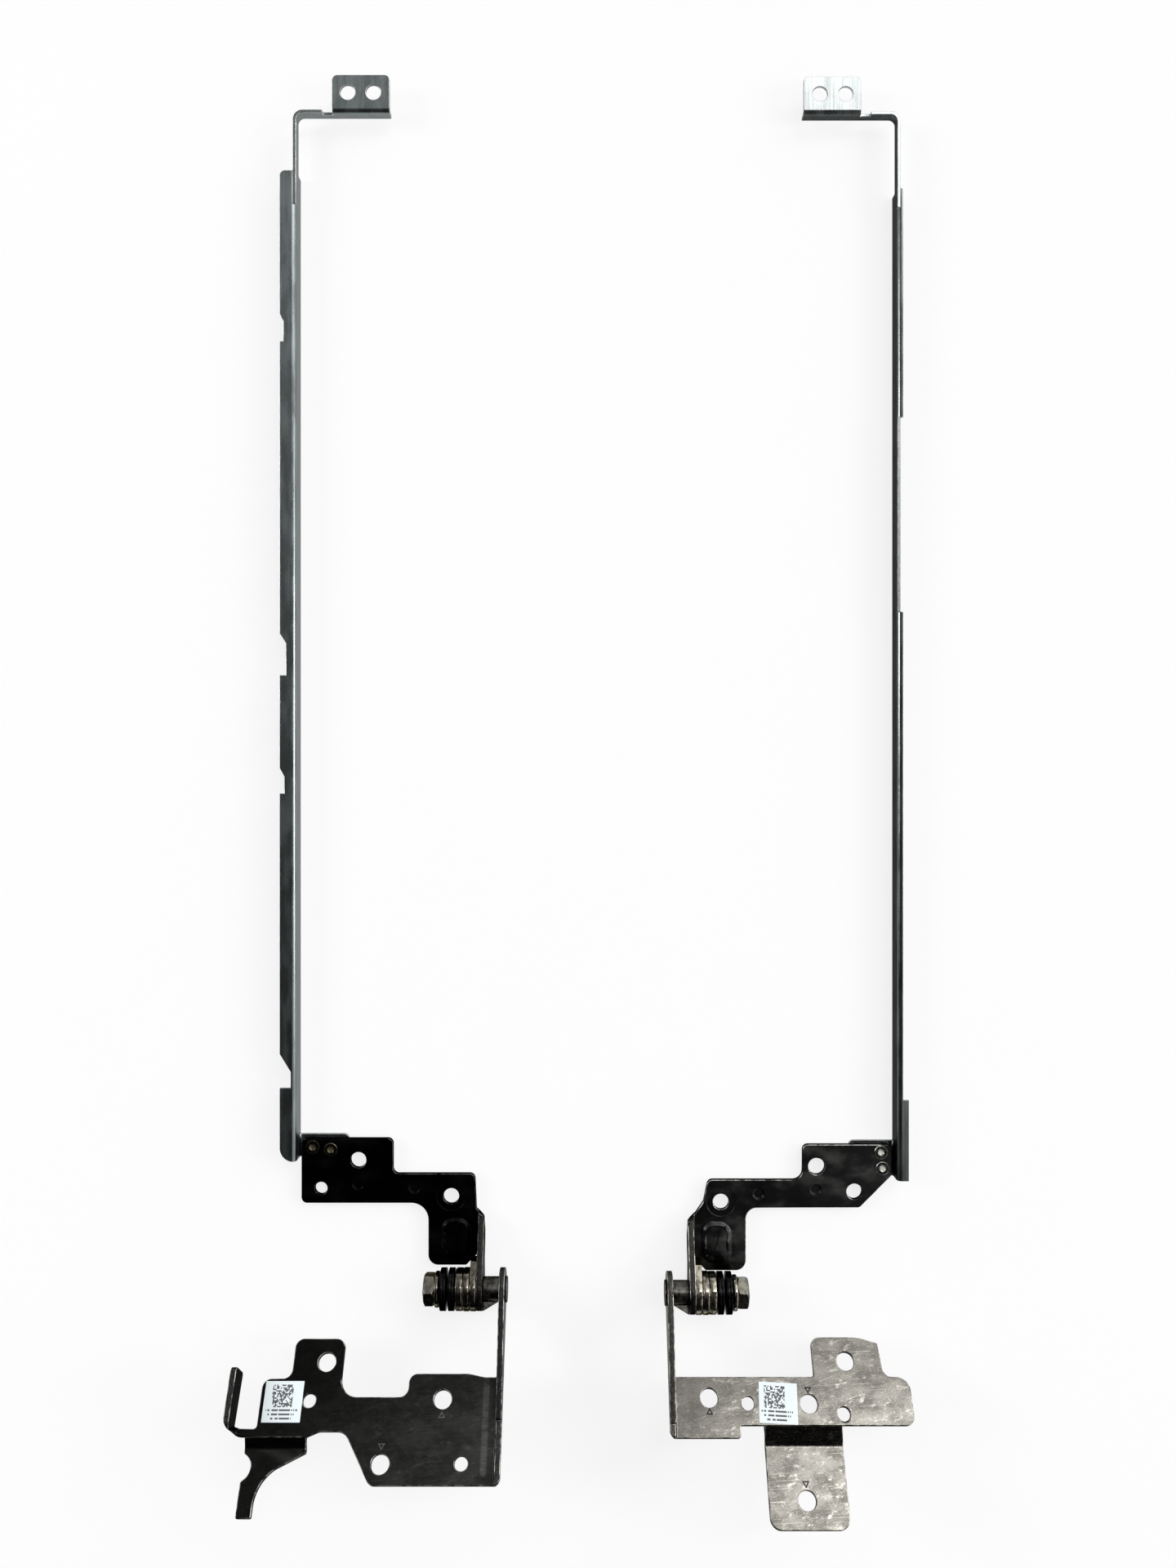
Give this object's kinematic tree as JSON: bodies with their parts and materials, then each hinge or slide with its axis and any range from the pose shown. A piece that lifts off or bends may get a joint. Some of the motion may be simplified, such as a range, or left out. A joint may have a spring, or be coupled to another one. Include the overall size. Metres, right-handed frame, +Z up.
{
  "type": "laptop hinge pair",
  "caption": "Left and right laptop display hinges: long folded screen rails riveted to lid brackets, which turn on friction shafts carried by folded base plates.",
  "frame": {"origin": "on the surface the pair lies on, under the middle of its box", "axes": "+X from the left hinge to the right one along the hinge axes, +Y up the screen rails, +Z up"},
  "size_m": [0.127, 0.2682, 0.022],
  "materials": {
    "zinc_sheet": "zinc plated, satin",
    "black_steel": "black oxide, satin",
    "dark_steel": "dark nickel, satin",
    "bare_steel": "bare, scuffed",
    "rivet_steel": "dark nickel",
    "shaft_steel": "turned, oiled",
    "washer_steel": "ground, oiled",
    "spring_steel": "blackened",
    "nut_steel": "nickel plated",
    "label_film": "white film, matte"
  },
  "bodies": {
    "lid_side": {"left_rail": "zinc_sheet", "left_lid_bracket": "black_steel", "left_rail_rivets": "rivet_steel", "left_lid_cam": "washer_steel", "right_rail": "zinc_sheet", "right_lid_bracket": "black_steel", "right_rail_rivets": "rivet_steel", "right_lid_cam": "washer_steel"},
    "left_base": {"left_base_plate": "dark_steel", "left_label": "label_film", "left_shaft": "shaft_steel", "left_shaft_cam": "washer_steel", "left_pressure_washer": "washer_steel", "left_spring_disc_1": "spring_steel", "left_spring_disc_2": "spring_steel", "left_spring_disc_3": "spring_steel", "left_spring_disc_4": "spring_steel", "left_lock_washer": "washer_steel", "left_nut": "nut_steel"},
    "right_base": {"right_base_plate": "bare_steel", "right_label": "label_film", "right_shaft": "shaft_steel", "right_shaft_cam": "washer_steel", "right_pressure_washer": "washer_steel", "right_spring_disc_1": "spring_steel", "right_spring_disc_2": "spring_steel", "right_spring_disc_3": "spring_steel", "right_spring_disc_4": "spring_steel", "right_lock_washer": "washer_steel", "right_nut": "nut_steel"}
  },
  "joints": [
    {"name": "left_hinge", "type": "hinge", "parent": "lid_side", "child": "left_base", "pos_m": [-0.0177, -0.09748, 0.005], "axis": [-1, 0, 0], "range_deg": [0, 144]},
    {"name": "right_hinge", "type": "hinge", "parent": "lid_side", "child": "right_base", "pos_m": [0.02125, -0.09818, 0.005], "axis": [-1, 0, 0], "range_deg": [0, 144]}
  ]
}
